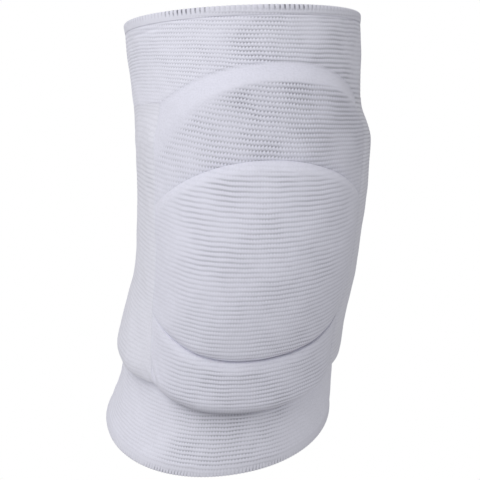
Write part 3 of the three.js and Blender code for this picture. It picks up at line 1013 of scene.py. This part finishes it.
def needle_holes(n, v):
    """A row of dents beside the seam, from 0 to 1."""
    from_row = n.distance(n.field("to_seam"), HOLES_FROM_SEAM)
    beside = n.range(from_row, 0.15, 0.6, to_low=1, to_high=0)
    return n.times(beside, n.range(n.wave("COSINE", v, SEAM_STITCH), 0.3, 1))


def knit_material(name, light, pitch, strokes, valley):
    """Ribbed knit: a row of dark stitch gaps in the painted shade between ribs, painted shade
    along the creases, and soft fuzz.
    """
    material = bpy.data.materials.new(name)
    n = Nodes(material)
    place, u, v = n.knit_place()
    ribbed = n.field("ribbed")
    knit, gaps = stitches(n, place, u, v, pitch, strokes)
    patches = n.range(n.noise(place, scale=0.07), 0.35, 0.65, to_low=0.65, to_high=1.15)
    specks = n.range(n.noise(place, scale=1.1, detail=1.0), 0.35, 0.75, to_high=SPECK_SHADE)
    plain = n.times(specks, n.math("SUBTRACT", 1, n.math("MINIMUM", ribbed, 1)))
    shaded = n.math("ADD", n.times(knit, ribbed, patches, valley), plain)
    dents = n.times(needle_holes(n, v), HOLE_SHADE)
    # Painted shade along the creases, a little darker in the stitch gaps.
    painted_crease_shade = n.times(n.field("crease"), n.range(gaps, 0, 1, to_low=0.8))
    dark = n.math("MAXIMUM", n.math("MAXIMUM", shaded, painted_crease_shade), dents)
    yarn = n.blend(n.range(n.noise(place, scale=0.3), 0.3, 0.7), light,
                   tuple(SHADED_YARN * c for c in light[:3]) + (1,))
    n.put(n.shader.inputs["Base Color"], n.blend(dark, yarn, GAP_AND_SHADE))
    fuzz = n.noise(place, scale=3.0, detail=3.0, rough=0.6)
    stroke = n.times(n.range(gaps, 0, 1, to_low=1, to_high=0), ribbed, 0.5 * strokes)
    hollow = n.math("ADD", n.times(dents, -1.2), n.times(plain, -2))
    height = n.math("ADD", n.math("ADD", stroke, hollow), n.times(fuzz, 0.4))
    n.bump(height, distance=0.22, strength=0.5)
    n.matt(fuzz)
    return material


def hem_material(name, contrast):
    """The hem's overlock: close upright stitches with dark gaps between some of them, over the
    last ribs of the knit with the painted shade of their valleys."""
    material = bpy.data.materials.new(name)
    n = Nodes(material)
    place, u, v = n.knit_place()
    knit = stitches(n, place, u, v, STITCHES["sleeve"]["pitch"], HEM_STROKES)[0]
    to_rim = n.field("to_rim")
    from_ticks = n.distance(n.distance(u, TICKS_MIDDLE), TICKS_APART)
    placed = n.range(from_ticks, *TICKS_FADE, to_low=0.2)
    patches = n.noise(place, scale=0.3, detail=3.0, rough=0.7)
    uneven = n.times(n.range(patches, 0.32, 0.58, to_low=0.2), placed)
    gaps = n.range(n.field("ridge"), -0.1, -0.95)
    marks = n.times(gaps, uneven, n.range(to_rim, 0.25, 0.7), contrast)
    dark = n.math("MAXIMUM", marks, n.times(knit, n.field("ribbed"), 0.35))
    n.put(n.shader.inputs["Base Color"], n.blend(dark, HEM_WHITE, HEM_GAP_AND_SHADE))
    fuzz = n.noise(place, scale=2.5, detail=3.0, rough=0.6)
    height = n.math("ADD", n.times(fuzz, 0.5), n.times(gaps, to_rim, -0.6))
    n.bump(height, distance=0.3, strength=0.5)
    n.matt(fuzz)
    return material


def floor_material():
    """A matt pale floor that the camera sees as pure white."""
    material = bpy.data.materials.new("floor_white")
    n = Nodes(material)
    n.shader.inputs["Base Color"].default_value = FLOOR_WHITE
    n.shader.inputs["Roughness"].default_value = 0.9
    glow = n.add("ShaderNodeEmission", ((1, 1, 1, 1), 1.0))
    path = n.add("ShaderNodeLightPath")
    surface = n.add("ShaderNodeMixShader", (path.outputs["Is Camera Ray"],
                                            n.shader.outputs[0], glow.outputs[0]))
    n.put(n.tree.nodes["Material Output"].inputs["Surface"], surface.outputs[0])
    return material


def toward(azimuth, elevation):
    """The direction from the object at an azimuth and an elevation in degrees."""
    a, e = radians(azimuth), radians(elevation)
    return np.array([sin(a) * cos(e), -cos(a) * cos(e), sin(e)])


def add_camera():
    """The camera of the photograph's view."""
    data = bpy.data.cameras.new("view")
    data.sensor_width = SENSOR
    data.lens = SENSOR * VIEW_DISTANCE / (VIEW_PIXELS * PIXEL_SIZE)
    camera = linked("view", data)
    away = toward(VIEW_AZIMUTH, VIEW_ELEVATION) * VIEW_DISTANCE
    camera.location = (np.array(VIEW_TARGET) + away) * MM
    camera.rotation_euler = (pi / 2 - radians(VIEW_ELEVATION), 0, radians(VIEW_AZIMUTH))
    bpy.context.scene.camera = camera


def add_light(name, azimuth, elevation, distance, size, power):
    """A soft square light that points at the object."""
    data = bpy.data.lights.new(name, "AREA")
    data.size = size
    data.energy = power
    light = linked(name, data)
    light.location = toward(azimuth, elevation) * distance
    light.rotation_euler = (pi / 2 - radians(elevation), 0, radians(azimuth))


def add_stage():
    """A pale floor well below the pad, a soft sky and the soft lights."""
    mesh = bpy.data.meshes.new("floor")
    signs = ((-1, -1), (1, -1), (1, 1), (-1, 1))
    corners = [(x * FLOOR_REACH, y * FLOOR_REACH, FLOOR_LEVEL) for x, y in signs]
    mesh.from_pydata(corners, [], [(0, 1, 2, 3)])
    mesh.materials.append(floor_material())
    linked("floor", mesh)
    world = bpy.data.worlds.new("studio")
    world.use_nodes = True
    sky = world.node_tree.nodes["Background"]
    sky.inputs["Color"].default_value = (1, 1, 1, 1)
    sky.inputs["Strength"].default_value = SKY
    bpy.context.scene.world = world
    bpy.context.scene.view_settings.view_transform = "Standard"
    for name, light in LIGHTS.items():
        add_light(name, **light)


def seat(piece, node):
    """The piece takes its node's place: the node is hidden, and the piece moves with the pad."""
    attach(piece, "root")
    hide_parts(node)


# Every lobe: its node, the edge lines below and above it, the rows and columns of its grid, and
# the form of its foam.
LOBES = {
    "upper_lobe": ("upper_pad", "dome_top", "top", 190, 150, upper_foam),
    "kneecap_dome": ("knee_dome", "dome_bottom", "dome_top", 260, 160, dome_foam),
    "lower_lobe": ("lower_pad", "bottom", "dome_bottom", 130, 150, lower_foam),
}

# The edge lines that a side panel's front edge runs between, and its rows from one to the next.
STRETCHES = (
    ("bottom", "dome_bottom", 90),
    ("dome_bottom", "dome_top", 190),
    ("dome_top", "top", 120),
)

tube = tube_piece("ribbed_tube", knit_material("sleeve_knit", SLEEVE_WHITE, **STITCHES["sleeve"]))
seat(tube, "sleeve")
hems = []
for name, (node, contrast, shape) in HEMS.items():
    overlock = hem_material(name.replace("hem", "overlock"), contrast)
    hems.append(hem_piece(name, material=overlock, **shape))
    seat(hems[-1], node)

grids, seats = {}, {}
for name, (node, *shape) in LOBES.items():
    grids[name] = pad_grid(*shape)
    knit = knit_material(name + "_knit", WHITE, **STITCHES[name])
    seats[name] = node, "pad_knit", knit, PAD_FILL
side_knit = knit_material("side_knit", SIDE_WHITE, **STITCHES["side"])
for node, shape in PANELS.items():
    name = node.replace("panel", "bolster")
    grids[name] = panel_grid(stretches=STRETCHES, columns=PANEL_COLUMNS, **shape)
    seats[name] = node, "side_knit", side_knit, SIDE_FILL
for grid in grids.values():
    grid["foam"] = grid["foam"] * SWELL_START
moves = swell(grids)
for name, (node, slot, material, fill) in seats.items():
    pad = slab_piece(name, grids[name], moves[name], material)
    seat(pad, node)

add_camera()
add_stage()
